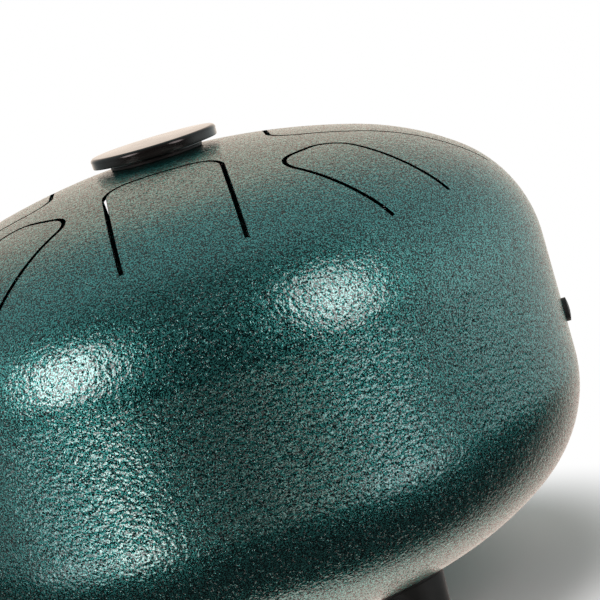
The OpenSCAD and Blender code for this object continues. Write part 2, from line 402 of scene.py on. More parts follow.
filling = clear_of(lattice(), np.array(layout.points), TRIANGLE * CLEAR_SHARE)
layout.add(filling[np.linalg.norm(filling, axis=1) > hole_run])
flat = np.array(layout.points)
_, _, faces, origins, _, _ = delaunay_2d_cdt([Vector(p) for p in flat], layout.lines, [], 0, TINY)
triangles = np.array([[origins[v][0] for v in face] for face in faces])
first, second, third = flat[triangles].transpose(1, 0, 2)
backward = np.cross(second - first, third - first) < 0
triangles[backward] = triangles[backward][:, ::-1]
print("points:", len(flat), "and triangles:", len(triangles))

# %% Share the triangles out
CUT_AWAY = -1
HEAD = 0
centres = flat[triangles].mean(axis=1)
owner = np.full(len(triangles), HEAD)
owner[within(centres, flat[hole])] = CUT_AWAY
for i, slot in enumerate(slots):
    owner[within(centres, flat[slot.inner_at + slot.outer_at[1:-1]])] = CUT_AWAY
    owner[within(centres, flat[slot.inner_at + slot.root_line[-2:0:-1]])] = i + 1
print("triangles on the head:", int((owner == HEAD).sum()), "on the tongues:", int((owner > HEAD).sum()))

# %% [markdown]
# ## Giving the skin its thickness
# Sheet steel has two faces, and a cut edge between them that paint rounds off. Each
# piece gets its outer skin, the same skin set in by the wall, and strips that walk round
# the rounded edge of every cut. The normals are worked out along with the points.

# %% Lift the flattened skin into space
EDGE_STEPS = 4


def lift(plan_flat, depth):
    """Points of the flattened skin as points in space, set in by depth, and their normals."""
    run = np.linalg.norm(plan_flat, axis=1)
    radius, height, side, rise = skin(run)
    way = plan_flat / np.maximum(run, TINY)[:, None]
    normals = np.concatenate([way * side[:, None], rise[:, None]], axis=1)
    points = np.concatenate([way * radius[:, None], (height + SEAM_Z)[:, None]], axis=1)
    return points - normals * depth, normals


def edge_rows():
    """How far each row of a cut edge stands into the cut, how deep it is, and its tilt."""
    angles = [k * math.pi / 2 / EDGE_STEPS for k in range(1, EDGE_STEPS + 1)]
    rows = [(EDGE_R * math.sin(a), EDGE_R * (1 - math.cos(a)), a) for a in angles]
    return rows + [(reach, WALL - depth, math.pi - tilt) for reach, depth, tilt in rows[::-1]]


print("rows on a cut edge:", len(edge_rows()))

# %% Build a piece of sheet from its triangles
class Sheet:
    """A piece of the pressed head: its points, faces and the exact normal at every corner."""

    def __init__(self, name):
        self.name = name
        self.points = []
        self.normals = []
        self.faces = []
        self.plain = []
        self.outer = {}
        self.inner = {}

    def add(self, points, normals):
        first = len(self.points)
        self.points.extend(points)
        self.normals.extend(normals)
        return np.arange(first, len(self.points))

    def skins(self, chosen):
        used = np.unique(chosen)
        top, normals = lift(flat[used], 0)
        under, _ = lift(flat[used], WALL)
        self.outer = dict(zip(used.tolist(), self.add(top, normals).tolist()))
        self.inner = dict(zip(used.tolist(), self.add(under, -normals).tolist()))
        for a, b, c in chosen.tolist():
            self.faces.append((self.outer[a], self.outer[b], self.outer[c]))
            self.faces.append((self.inner[c], self.inner[b], self.inner[a]))

    def cut_edge(self, numbers, plan, ways):
        """The rounded edge along one side of a cut. Returns the columns of its points."""
        _, normals = lift(flat[numbers], 0)
        level = np.concatenate([ways, np.zeros((len(ways), 1))], axis=1)
        level = level - normals * np.sum(level * normals, axis=1, keepdims=True)
        level = level / np.linalg.norm(level, axis=1, keepdims=True)
        rows = [np.array([self.outer[n] for n in numbers])]
        for reach, depth, tilt in edge_rows():
            moved, _ = lift(flatten(plan + ways * reach), depth)
            rows.append(self.add(moved, normals * math.cos(tilt) + level * math.sin(tilt)))
        rows.append(np.array([self.inner[n] for n in numbers]))
        rows = np.array(rows)
        for upper, lower in zip(rows[:-1], rows[1:]):
            for j in range(len(numbers) - 1):
                self.faces.append((upper[j], lower[j], lower[j + 1], upper[j + 1]))
        return rows.T

    def plain_wall(self, numbers, closed=False):
        """A flat wall between the two skins along a line of points."""
        for a, b in pairs_of(numbers, closed):
            self.flat_face((self.outer[a], self.inner[a], self.inner[b], self.outer[b]))

    def flat_face(self, corners):
        self.plain.append(len(self.faces))
        self.faces.append(tuple(int(c) for c in corners))

    def build(self):
        mesh = bpy.data.meshes.new(self.name)
        mesh.from_pydata([tuple(p) for p in self.points], [], self.faces)
        mesh.update()
        mesh.polygons.foreach_set("use_smooth", np.ones(len(mesh.polygons), bool))
        corners = np.zeros(len(mesh.loops), int)
        mesh.loops.foreach_get("vertex_index", corners)
        normals = np.array(self.normals)[corners]
        for number in self.plain:
            face = mesh.polygons[number]
            span = slice(face.loop_start, face.loop_start + face.loop_total)
            normals[span] = face.normal
            for corner_at in range(span.start, span.stop):
                mesh.edges[mesh.loops[corner_at].edge_index].use_edge_sharp = True
        mesh.normals_split_custom_set(normals.tolist())
        piece = bpy.data.objects.new(self.name, mesh)
        bpy.context.scene.collection.objects.link(piece)
        return piece


# %% The upper head and its eight tongues
def measure(piece):
    """Prints a piece's faces, the edges that aren't shared by two of them, and its volume."""
    solid = bmesh.new()
    solid.from_mesh(piece.data)
    loose = sum(1 for edge in solid.edges if not edge.is_manifold)
    volume = solid.calc_volume(signed=True)
    solid.free()
    millilitres = round(volume * ML_PER_M3, 2)
    print(piece.name, len(piece.data.polygons), "faces", loose, "open edges", millilitres, "ml")


def make_tongue(index):
    slot = slots[index]
    sheet = Sheet(f"tongue_plate_{index + 1}")
    sheet.skins(triangles[owner == index + 1])
    columns = sheet.cut_edge(slot.inner_at, slot.inner, slot.inner_way)
    sheet.plain_wall(slot.root_line[::-1])
    sheet.flat_face(columns[0])
    sheet.flat_face(columns[-1][::-1])
    return sheet.build()


def make_head():
    sheet = Sheet("upper_head")
    sheet.skins(triangles[owner == HEAD])
    for slot in slots:
        columns = sheet.cut_edge(slot.outer_at, slot.outer, slot.outer_way)
        sheet.plain_wall(slot.root_line)
        sheet.flat_face(columns[-1][::-1])
        sheet.flat_face(columns[0])
    sheet.plain_wall(rim, closed=True)
    sheet.plain_wall(hole[::-1], closed=True)
    return sheet.build()


upper_head = make_head()
tongue_plates = [make_tongue(i) for i in range(len(TONGUES))]
for piece in [upper_head] + tongue_plates:
    measure(piece)

# %% [markdown]
# ## One lathe for every round piece
# The lower head, the cap, its gasket, the port's edging, the side plug and a foot are all
# turned shapes: one section carried round an axis. Geometry Nodes make such a lathe
# once, with the number of steps and the radius of the path as named inputs, and each
# piece then only brings its own section.

# %% The parts that every tree shares
def new_tree(name, inputs):
    """A Geometry Nodes tree with a geometry input and output, and the inputs named."""
    tree = bpy.data.node_groups.new(name, "GeometryNodeTree")
    tree.interface.new_socket("Geometry", in_out="INPUT", socket_type="NodeSocketGeometry")
    for label, kind in inputs:
        tree.interface.new_socket(label, in_out="INPUT", socket_type=kind)
    tree.interface.new_socket("Geometry", in_out="OUTPUT", socket_type="NodeSocketGeometry")
    return tree, tree.nodes.new("NodeGroupInput"), tree.nodes.new("NodeGroupOutput")


def wire(tree, links):
    """Joins sockets. Each link is a node, its output, the next node and its input."""
    for source, output, target, socket in links:
        tree.links.new(source.outputs[output], target.inputs[socket])


def finish_tree(tree, given, result, shape, output):
    """Ends a tree: real geometry and one material."""
    real = tree.nodes.new("GeometryNodeRealizeInstances")
    coat = tree.nodes.new("GeometryNodeSetMaterial")
    wire(tree, [
        (shape, output, real, "Geometry"),
        (real, "Geometry", coat, "Geometry"),
        (given, "Material", coat, "Material"),
        (coat, "Geometry", result, "Geometry"),
    ])


# %% Build the lathe
MERGE = 1e-6


def make_lathe_tree():
    kinds = [("Steps", "NodeSocketInt"), ("Path Radius", "NodeSocketFloat")]
    kinds.append(("Material", "NodeSocketMaterial"))
    tree, given, result = new_tree("lathe", kinds)
    section = tree.nodes.new("GeometryNodeMeshToCurve")
    path = tree.nodes.new("GeometryNodeCurvePrimitiveCircle")
    sweep = tree.nodes.new("GeometryNodeCurveToMesh")
    poles = tree.nodes.new("GeometryNodeMergeByDistance")
    poles.inputs["Distance"].default_value = MERGE
    wire(tree, [
        (given, "Geometry", section, "Mesh"),
        (given, "Steps", path, "Resolution"),
        (given, "Path Radius", path, "Radius"),
        (path, "Curve", sweep, "Curve"),
        (section, "Curve", sweep, "Profile Curve"),
        (sweep, "Mesh", poles, "Geometry"),
    ])
    finish_tree(tree, given, result, poles, "Geometry")
    return tree


lathe_tree = make_lathe_tree()
print("lathe:", len(lathe_tree.nodes), "nodes")

# %% Run a tree and turn a section
CREASE = math.radians(32)
EASE_STEPS = 5


def run_tree(name, mesh, tree, values):
    """Runs a tree on a mesh and returns the result as a plain object at the origin."""
    source = bpy.data.objects.new(name, mesh)
    bpy.context.scene.collection.objects.link(source)
    modifier = source.modifiers.new(tree.name, "NODES")
    modifier.node_group = tree
    sockets = {s.name: s.identifier for s in tree.interface.items_tree if s.in_out == "INPUT"}
    for label, value in values.items():
        modifier[sockets[label]] = value
    seen = source.evaluated_get(bpy.context.evaluated_depsgraph_get())
    result = bpy.data.meshes.new_from_object(seen)
    source.modifiers.remove(modifier)
    source.data = result
    result.name = name
    return source


def tidy_faces(piece):
    """Turns a closed mesh right side out, smooths it and keeps its real edges sharp."""
    solid = bmesh.new()
    solid.from_mesh(piece.data)
    bmesh.ops.recalc_face_normals(solid, faces=solid.faces)
    if solid.calc_volume(signed=True) < 0:
        bmesh.ops.reverse_faces(solid, faces=solid.faces)
    solid.to_mesh(piece.data)
    solid.free()
    piece.data.polygons.foreach_set("use_smooth", np.ones(len(piece.data.polygons), bool))
    piece.data.set_sharp_from_angle(angle=CREASE)


def turned(name, section, material, steps, closed=False, path=None):
    """A piece turned from a section of (radius, height) points, top first."""
    section = np.asarray(section, float)
    path = path or float(section[:, 0].max()) / 2
    mesh = bpy.data.meshes.new(name)
    mesh.from_pydata([(r - path, -z, 0) for r, z in section], pairs_of(range(len(section)), closed), [])
    piece = run_tree(name, mesh, lathe_tree, {"Steps": steps, "Path Radius": path, "Material": material})
    tidy_faces(piece)
    measure(piece)
    return piece


def eased(corners):
    """A section with its corners rounded. Each corner is radius, height and the round's radius."""
    points = []
    count = len(corners)
    for i, (r, z, ease) in enumerate(corners):
        here = np.array([r, z], float)
        if ease <= 0:
            points.append(here)
            continue
        before = unit(np.array(corners[i - 1][:2]) - here)
        after = unit(np.array(corners[(i + 1) % count][:2]) - here)
        half = math.acos(np.clip(before @ after, -1, 1)) / 2
        centre = here + unit(before + after) * ease / math.sin(half)
        first = here + before * ease / math.tan(half) - centre
        last = here + after * ease / math.tan(half) - centre
        sweep = math.acos(np.clip(unit(first) @ unit(last), -1, 1))
        for k in range(EASE_STEPS + 1):
            t = k / EASE_STEPS
            mixed = first * math.sin((1 - t) * sweep) + last * math.sin(t * sweep)
            points.append(centre + mixed / math.sin(sweep))
    return np.array(points)


# %% [markdown]
# ## Maths on a material's sockets
# A finish is easier to read as a formula than as a web of links. One small class wraps a
# node's output, so that masks can be added and multiplied like numbers, and one method
# makes any other node from its type, the values of its sockets and its settings.

# %% A value in a formula
class Value:
    """One output of a material's node."""

    def __init__(self, finish, socket):
        self.finish = finish
        self.socket = socket

    def worked(self, operation, first, second):
        return self.finish.node("ShaderNodeMath", {0: first, 1: second}, operation=operation)

    def __add__(self, other):
        return self.worked("ADD", self, other)

    __radd__ = __add__

    def __sub__(self, other):
        return self.worked("SUBTRACT", self, other)

    def __rsub__(self, other):
        return self.worked("SUBTRACT", other, self)

    def __mul__(self, other):
        return self.worked("MULTIPLY", self, other)

    __rmul__ = __mul__

    def eased(self, low, high):
        """0 below low, 1 above high and a smooth step between them."""
        values = {"Value": self, "From Min": low, "From Max": high}
        return self.finish.node("ShaderNodeMapRange", values, interpolation_type="SMOOTHSTEP")


# %% A finish, filled one node at a time
NOISE_MIDDLE = (0.5, 0.5, 0.5)


class Finish:
    """A node tree and the few kinds of node that the finishes here are made of."""

    def __init__(self, tree):
        self.tree = tree
        tree.nodes.clear()

    def node(self, kind, values, output=0, **settings):
        """Adds a node: its settings first, then the values or links of its sockets."""
        made = self.tree.nodes.new(kind)
        for key, value in settings.items():
            setattr(made, key, value)
        for key, value in values.items():
            self.feed(made.inputs[key], value)
        return Value(self, made.outputs[output]) if len(made.outputs) else made

    def feed(self, socket, value):
        if isinstance(value, Value):
            self.tree.links.new(value.socket, socket)
        elif isinstance(value, tuple) and len(value) == 3 and socket.type == "RGBA":
            socket.default_value = (*value, 1)
        else:
            socket.default_value = value

    def place(self):
        """Object coordinates, in metres, the same on every piece."""
        return self.node("ShaderNodeTexCoord", {}, "Object")

    def noise(self, at, size, detail=2.0, output=0):
        """Soft noise whose blobs are about size across."""
        return self.node("ShaderNodeTexNoise", {"Vector": at, "Scale": 1 / size, "Detail": detail}, output)

    def cells(self, at, size, output="Distance"):
        """Cells about size across: the distance to each one's middle, in cells."""
        return self.node("ShaderNodeTexVoronoi", {"Vector": at, "Scale": 1 / size}, output)

    def vector(self, operation, values, output=0):
        return self.node("ShaderNodeVectorMath", values, output, operation=operation)

    def shifted(self, at, size, reach):
        """Coordinates pushed about by noise, so that a pattern isn't regular."""
        push = self.vector("SUBTRACT", {0: self.noise(at, size, output="Color"), 1: NOISE_MIDDLE})
        return self.vector("ADD", {0: at, 1: self.vector("SCALE", {0: push, "Scale": reach})})

    def blend(self, share, first, second):
        """A colour between first, at 0, and second, at 1."""
        return self.node("ShaderNodeMix", {0: share, 6: first, 7: second}, 2, data_type="RGBA")

    def relief(self, height, depth):
        """A surface normal from a height map, whose full height is depth."""
        return self.node("ShaderNodeBump", {"Strength": 1.0, "Distance": depth, "Height": height})

    def coat(self, **sockets):
        """A main shader. Its sockets' names are given with underscores for spaces."""
        named = {key.replace("_", " "): value for key, value in sockets.items()}
        return self.node("ShaderNodeBsdfPrincipled", named)

    def mixed(self, share, first, second):
        """The first shader where share is 0 and the second where it is 1."""
        return self.node("ShaderNodeMixShader", {0: share, 1: first, 2: second})

    def ends(self, shader, kind="Material"):
        """Joins the last shader to the tree's output."""
        self.node(f"ShaderNodeOutput{kind}", {"Surface": shader})


def new_material(name):
    material = bpy.data.materials.new(name)
    material.use_nodes = True
    return material, Finish(material.node_tree)


# %% [markdown]
# ## Hammered paint
# The paint holds metal flakes and a silicone that draws it up into small pits as it
# dries, and a glossy skin of lacquer closes it. Two shaders are therefore mixed. The
# flakes are a rough metal in two tones, which gives the teal sparkle. The lacquer is
# smooth, so it mirrors the lamps in a pale patch that breaks up at its edges. Cells of
# one to two millimetres give the pits. In them the flakes are darkened and the
# lacquer's share is cut, which is painted shade in the hollows. Finer noise gives the
# flakes, and a broader swell gives the ripples. The lacquer takes the full relief and
# the flakes a little less than half of it.

# %% Paint of the shells
PIT_SIZE = 0.0016
GRAIN_SIZE = 0.00070
FLAKE_SIZE = 0.00056
SWELL_SIZE = 0.0020
WANDER_SIZE = 0.0014
WANDER_REACH = 0.0012
# Where a pit gives way to the raised paint, in cells, and where the noise turns to a flake
PIT_EDGE = (0.06, 0.36)
FLAKE_EDGE = (0.505, 0.54)
PIT_HEIGHT = 0.9
GRAIN_HEIGHT = 0.08
SWELL_HEIGHT = 1.3
# Painted shade in the pits: the flakes' brightness there and the lacquer's share there,
# then what is added to that share outside a pit and on a light flake there
PIT_SHADE_FLAKE_LIGHT = 0.15
PIT_SHADE_GLOSS = 0.05
GLOSS_RAISED = 0.32
GLOSS_ON_FLAKE = 0.30
LACQUER_RELIEF = 0.00025
FLAKE_RELIEF = 0.00010
# The dark flakes, which also give the painted shade in the pits
FLAKE_DARK_AND_PIT_SHADE = (0.000, 0.016, 0.016)
FLAKE_TEAL = (0.16, 0.98, 0.92)
FLAKE_TINT = (1.0, 0.70, 0.66)
LACQUER_GREEN = (0.003, 0.016, 0.016)
LACQUER_TINT = (0.92, 1.0, 1.0)


def hammered_paint(name):
    material, f = new_material(name)
    at = f.place()
    bent = f.shifted(at, WANDER_SIZE, WANDER_REACH)
    pits = f.cells(bent, PIT_SIZE).eased(*PIT_EDGE)
    grain = f.noise(at, GRAIN_SIZE, 1.0)
    speck = f.noise(at, FLAKE_SIZE, 1.0)
    swell = f.noise(at, SWELL_SIZE, 1.0)
    height = pits * PIT_HEIGHT + grain * GRAIN_HEIGHT + swell * SWELL_HEIGHT
    bumps = f.relief(height, LACQUER_RELIEF)
    faint = f.relief(height, FLAKE_RELIEF)
    light = speck.eased(*FLAKE_EDGE)
    # Painted shade: the pits darken the flakes and cut the lacquer's share, so each pit reads dark
    teal = f.blend(light * (PIT_SHADE_FLAKE_LIGHT + pits * (1 - PIT_SHADE_FLAKE_LIGHT)), FLAKE_DARK_AND_PIT_SHADE, FLAKE_TEAL)
    gloss = PIT_SHADE_GLOSS + pits * (GLOSS_RAISED + light * GLOSS_ON_FLAKE)
    flakes = f.coat(Base_Color=teal, Roughness=0.40, Metallic=1.0, Specular_Tint=FLAKE_TINT, Normal=faint)
    lacquer = f.coat(
        Base_Color=LACQUER_GREEN, Roughness=0.09, IOR=2.7, Specular_Tint=LACQUER_TINT, Normal=bumps,
    )
    f.ends(f.mixed(gloss, flakes, lacquer))
    return material


paint = hammered_paint("hammered_paint")
print("paint:", len(paint.node_tree.nodes), "nodes")

# %% Plastics and rubber
CAP_BLACK = (0.014, 0.012, 0.011)
RUBBER_BLACK = (0.022, 0.021, 0.020)
MOTTLE_PER_GRAIN = 12
MOTTLE_EDGE = (0.3, 0.7)
MOTTLE_DARK = 0.75
MOTTLE_DULL = 0.12


def moulded(name, colour, rough, grain, depth):
    """A moulded plastic or rubber: one colour with a faint grain in its gloss and relief."""
    material, f = new_material(name)
    at = f.place()
    mottle = f.noise(at, grain * MOTTLE_PER_GRAIN)
    fine = f.noise(at, grain, 3.0)
    dark = tuple(c * MOTTLE_DARK for c in colour)
    base = f.blend(mottle.eased(*MOTTLE_EDGE), dark, colour)
    dull = rough + (mottle - 0.5) * MOTTLE_DULL
    f.ends(f.coat(Base_Color=base, Roughness=dull, IOR=1.5, Normal=f.relief(fine, depth)))
    return material


cap_plastic = moulded("cap_plastic", CAP_BLACK, rough=0.15, grain=0.0006, depth=0.000006)
rubber = moulded("black_rubber", RUBBER_BLACK, rough=0.55, grain=0.0004, depth=0.00003)
print("moulded:", cap_plastic.name, "and", rubber.name)

# %% Zinc of the fasteners and the weld
SPANGLE_SIZE = 0.0012
ZINC_GRAIN = 0.0004
ZINC_RELIEF = 0.00001
ZINC_TONES = [(0.42, 0.44, 0.46), (0.62, 0.63, 0.64)]
RIPPLE_SIZE = 0.0022
RIPPLE_WANDER = 0.002
RIPPLE_REACH = 0.001
RIPPLE_RELIEF = 0.0004
HEAT_SIZE = 0.012
HEAT_EDGE = (0.35, 0.65)
HEAT_TONES = [(0.16, 0.13, 0.11), (0.10, 0.12, 0.16)]


def plated(name):
    """Zinc plate on small steel fasteners: bright, with a faint mottle."""
    material, f = new_material(name)
    at = f.place()
    tone = f.node("ShaderNodeSeparateColor", {"Color": f.cells(at, SPANGLE_SIZE, "Color")})
    base = f.blend(tone, *ZINC_TONES)
    bumps = f.relief(f.noise(at, ZINC_GRAIN), ZINC_RELIEF)
    f.ends(f.coat(Base_Color=base, Roughness=0.25 + tone * 0.14, Metallic=1.0, Normal=bumps))
    return material


def welded(name):
    """A weld bead left as it came: small overlapping ripples and the tints of heat."""
    material, f = new_material(name)
    at = f.place()
    ripple = f.cells(f.shifted(at, RIPPLE_WANDER, RIPPLE_REACH), RIPPLE_SIZE)
    heat = f.noise(at, HEAT_SIZE)
    base = f.blend(heat.eased(*HEAT_EDGE), *HEAT_TONES)
    bumps = f.relief(ripple, RIPPLE_RELIEF)
    f.ends(f.coat(Base_Color=base, Roughness=0.35 + ripple * 0.25, Metallic=0.9, Normal=bumps))
    return material


zinc = plated("zinc_plate")
weld = welded("weld_bead")
print("metals:", zinc.name, "and", weld.name)

# %% [markdown]
# ## The lower head
# The lower head is the same pressing turned over, with a round port in its bottom. Its
# section runs along the outer arcs from the port to the seam and back along the inner
# ones, and the lathe turns it.

# %% Turn the lower head
PORT_R = 0.045
RUN_STEP = 0.0024
LATHE_PATH_R = 0.1


def lower_section():
    start = float(run_of(PORT_R))
    runs = np.linspace(start, FULL_RUN, round((FULL_RUN - start) / RUN_STEP))
    radius, height, side, rise = skin(runs)
    outer = np.stack([radius, SEAM_Z - height], axis=1)
    inner = np.stack([radius - side * WALL, SEAM_Z - height + rise * WALL], axis=1)
    inner[:, 1] = np.minimum(inner[:, 1], SEAM_Z)
    return np.vstack([outer, inner[::-1]])


lower_head = turned("lower_head", lower_section(), paint, RIM_STEPS, closed=True, path=LATHE_PATH_R)

# %% [markdown]
# ## The centre cap
# A moulded plastic disc covers the hole in the crown. It stands on a narrow neck and a
# thin gasket, so its rim overhangs and throws a shadow on the paint. A mould leaves a
# fine line round the rim where its two halves met.

# %% Turn the cap
CAP_R = 0.0284
CAP_UNDER = TOP_Z + 0.0020
CAP_EDGE = TOP_Z + 0.0068
CAP_DOME_R = 0.520
CAP_ROUND = 0.0017
CAP_LOW_ROUND = 0.0004
CAP_DRAFT = 0.00022
CAP_STEPS = 192
DOME_STEPS = 16
ROUND_STEPS = 9
ROUND_START = 0.12
PARTING_H = 0.00008
PARTING_DEEP = 0.00012
NECK_R = 0.0205
NECK_ROUND = 0.0002
GASKET_TOP = TOP_Z + 0.0008
SPIGOT_R = 0.01235
SPIGOT_END = TOP_Z - 0.0023
BORE_R = 0.00255
BORE_END = TOP_Z + 0.0025


def cap_section():
    dome = CAP_R - CAP_ROUND
    lift_of = CAP_EDGE - math.sqrt(CAP_DOME_R ** 2 - dome ** 2)
    top = [(r, lift_of + math.sqrt(CAP_DOME_R ** 2 - r * r)) for r in np.linspace(0, dome, DOME_STEPS)]
    angles = np.linspace(ROUND_START, math.pi / 2, ROUND_STEPS)
    turn = [(dome + CAP_ROUND * math.sin(a), CAP_EDGE - CAP_ROUND * (1 - math.cos(a))) for a in angles]
    parting = CAP_EDGE - CAP_ROUND
    below = eased([
        (CAP_R, parting - PARTING_H, 0),
        (CAP_R - PARTING_DEEP, parting - PARTING_DEEP, 0),
        (CAP_R - CAP_DRAFT, CAP_UNDER, CAP_LOW_ROUND),
        (NECK_R, CAP_UNDER, NECK_ROUND),
        (NECK_R, GASKET_TOP, 0),
        (SPIGOT_R, GASKET_TOP, 0),
        (SPIGOT_R, SPIGOT_END, 0),
        (BORE_R, SPIGOT_END, 0),
        (BORE_R, BORE_END, 0),
        (0, BORE_END, 0),
    ])
    return np.vstack([top, turn, below])


centre_cap = turned("cap_disc", cap_section(), cap_plastic, CAP_STEPS)

# %% Turn its gasket
GASKET_R = NECK_R + 0.0002
GASKET_ROUND = 0.0003
GASKET_STEPS = 160
SEAT_GAP = 0.00005


def crown_at(radius):
    return SEAM_Z + CROWN_Z + math.sqrt(CROWN_R ** 2 - radius ** 2)


def gasket_section():
    return eased([
        (HOLE_R, GASKET_TOP, 0),
        (GASKET_R, GASKET_TOP, GASKET_ROUND),
        (GASKET_R, crown_at(NECK_R) + SEAT_GAP, GASKET_ROUND),
        (HOLE_R, crown_at(HOLE_R) + SEAT_GAP, 0),
    ])


cap_gasket = turned("cap_seal", gasket_section(), rubber, GASKET_STEPS, closed=True)

# %% [markdown]
# ## The port's edging
# A raw cut edge would scratch fingers that carry the drum by its port, so a strip of
# rubber grips the sheet there. Its section is a U with rounded lips, and it leans with
# the curve of the bottom.

# %% Turn the edging
EDGING_LEAN = math.asin(PORT_R / CROWN_R)
EDGING_Z = SEAM_Z - CROWN_Z - math.sqrt((CROWN_R - WALL / 2) ** 2 - PORT_R ** 2)
EDGING_WALL = 0.0015
EDGING_GRIP = 0.005
EDGING_STEPS = 256
EDGING_PLAY = 0.0001
SLOT_SET = 0.0002
NOSE_SET = 0.0004
NOSE_STEPS = 17
LIP_ROUND = 0.0006
LIP_INNER_ROUND = 0.0003


def edging_section():
    half = WALL / 2 + EDGING_WALL
    slot_half = WALL / 2 + EDGING_PLAY
    angles = np.linspace(0, math.pi, NOSE_STEPS)
    nose = [(NOSE_SET - half * math.sin(a), half * math.cos(a), 0) for a in angles]
    lips = [
        (EDGING_GRIP, -half, LIP_ROUND),
        (EDGING_GRIP, -slot_half, LIP_INNER_ROUND),
        (-SLOT_SET, -slot_half, 0),
        (-SLOT_SET, slot_half, 0),
        (EDGING_GRIP, slot_half, LIP_INNER_ROUND),
        (EDGING_GRIP, half, LIP_ROUND),
    ]
    c, s = math.cos(EDGING_LEAN), math.sin(EDGING_LEAN)
    return eased(nose + lips) @ np.array([[c, s], [-s, c]]) + np.array([PORT_R, EDGING_Z])


port_edging = turned("port_edging", edging_section(), rubber, EDGING_STEPS, closed=True)

# %% [markdown]
# ## The side plug
# A rubber plug closes a small hole just under the seam. It is turned about its own axis
# and then laid on the waist by a matrix, which is applied to its mesh so that the object
# itself stays at the origin.

# %% Turn the plug and lay it on the waist
PLUG_R = 0.00525
PLUG_EDGE = 0.0018
PLUG_TOP = 0.0025
PLUG_STEPS = 64
PLUG_DOME_STEPS = 9
PLUG_DOME_END = 0.0003
PLUG_EASE = 0.00005
PLUG_EASE_IN = 0.00009
PLUG_PLAY = 0.00015
PLUG_STEM_R = 0.00335
PLUG_BARB = [(0.00455, 0, 0.0003), (0.00275, 0.004, 0.0004), (0, 0.004, 0)]
PLUG_TURN = math.radians(82)
PLUG_DROP = 0.009


def plug_section():
    rise = PLUG_TOP - PLUG_EDGE
    dome_r = (PLUG_R ** 2 + rise ** 2) / (2 * rise)
    radii = np.linspace(0, PLUG_R - PLUG_DOME_END, PLUG_DOME_STEPS)
    top = [(r, PLUG_TOP - dome_r + math.sqrt(dome_r ** 2 - r * r)) for r in radii]
    top.append((PLUG_R - PLUG_EASE_IN, PLUG_EDGE + PLUG_EASE))
    wall_inside = -WALL - PLUG_PLAY
    below = eased([
        (PLUG_R, PLUG_EDGE - PLUG_EASE, 0),
        (PLUG_R, -PLUG_PLAY, 0),
        (PLUG_STEM_R, -PLUG_PLAY, 0),
        (PLUG_STEM_R, wall_inside, 0),
    ] + [(r, wall_inside - along, ease) for r, along, ease in PLUG_BARB])
    return np.vstack([top, below])


side_plug = turned("waist_plug", plug_section(), rubber, PLUG_STEPS)
lay_flat = Matrix.Rotation(math.pi / 2, 4, "Y")
turn_round = Matrix.Rotation(PLUG_TURN - math.pi / 2, 4, "Z")
side_plug.data.transform(turn_round @ Matrix.Translation((BODY_R, 0, SEAM_Z - PLUG_DROP)) @ lay_flat)

# %% [markdown]
# ## Four rubber feet
# A foot is a turned cone that stands square to the curved bottom, yet its base has to lie
# flat on the table, so the cone is cut by the table's plane and that new edge is eased.
# One foot is made in its place, and a second tree repeats it round the drum's axis.

# %% The section of a foot
FOOT_RING_R = 0.072
FOOT_TOP_R = 0.016
FOOT_BASE_R = 0.0125
FOOT_HOLE_R = 0.00215
FOOT_POCKET_R = 0.0055
FOOT_POCKET_ROUND = 0.0003
FOOT_WEB = 0.007
FOOT_LIFT = 0.008
FOOT_LEAN = math.asin(FOOT_RING_R / CROWN_R)
FOOT_STEPS = 72
FOOT_SEAT_STEPS = 8
# How much longer than the foot the cone is before the table's plane cuts it
CONE_SPARE = 1.6
BRIM_IN = 0.0006
# How far under the seat each corner of the brim stands, and its round
BRIM = [(0.0012, 0.0005), (0.0020, 0.0006)]


def foot_section():
    fall = CROWN_R - math.sqrt(CROWN_R ** 2 - FOOT_RING_R ** 2)
    length = (FOOT_LIFT + fall) / math.cos(FOOT_LEAN)
    slope = (FOOT_TOP_R - FOOT_BASE_R) / length
    long = length * CONE_SPARE
    radii = np.linspace(FOOT_HOLE_R, FOOT_TOP_R, FOOT_SEAT_STEPS)
    seat = [(r, math.sqrt((CROWN_R + SEAT_GAP) ** 2 - r * r), 0) for r in radii]
    (upper, upper_ease), (lower, lower_ease) = BRIM
    return eased(seat + [
        (FOOT_TOP_R, seat[-1][1] + upper, upper_ease),
        (FOOT_TOP_R - BRIM_IN, seat[-1][1] + lower, lower_ease),
        (FOOT_TOP_R - slope * long - BRIM_IN, CROWN_R + long, 0),
        (FOOT_POCKET_R, CROWN_R + long, 0),
        (FOOT_POCKET_R, CROWN_R + FOOT_WEB, FOOT_POCKET_ROUND),
        (FOOT_HOLE_R, CROWN_R + FOOT_WEB, 0),
    ])


# %% Make one foot
FOOT_COUNT = 4
FOOT_EASE = 0.0009
FOOT_EASE_STEPS = 3


def make_foot():
    piece = turned("rubber_foot", foot_section(), rubber, FOOT_STEPS, closed=True)
    down = Matrix.Rotation(math.pi - FOOT_LEAN, 4, "Y")
    first = Matrix.Rotation(math.pi / FOOT_COUNT, 4, "Z")
    middle = Matrix.Translation((0, 0, SEAM_Z - CROWN_Z))
    piece.data.transform(middle @ first @ down)
    solid = bmesh.new()
    solid.from_mesh(piece.data)
    everything = solid.verts[:] + solid.edges[:] + solid.faces[:]
    bmesh.ops.bisect_plane(solid, geom=everything, plane_co=(0, 0, 0), plane_no=(0, 0, -1), clear_outer=True)
    rims = [e for e in solid.edges if e.is_boundary]
    bmesh.ops.bridge_loops(solid, edges=rims)
    bmesh.ops.bevel(solid, geom=rims, offset=FOOT_EASE, segments=FOOT_EASE_STEPS, affect="EDGES", profile=0.5)
    solid.to_mesh(piece.data)
    solid.free()
    tidy_faces(piece)
    measure(piece)
    return piece


foot = make_foot()

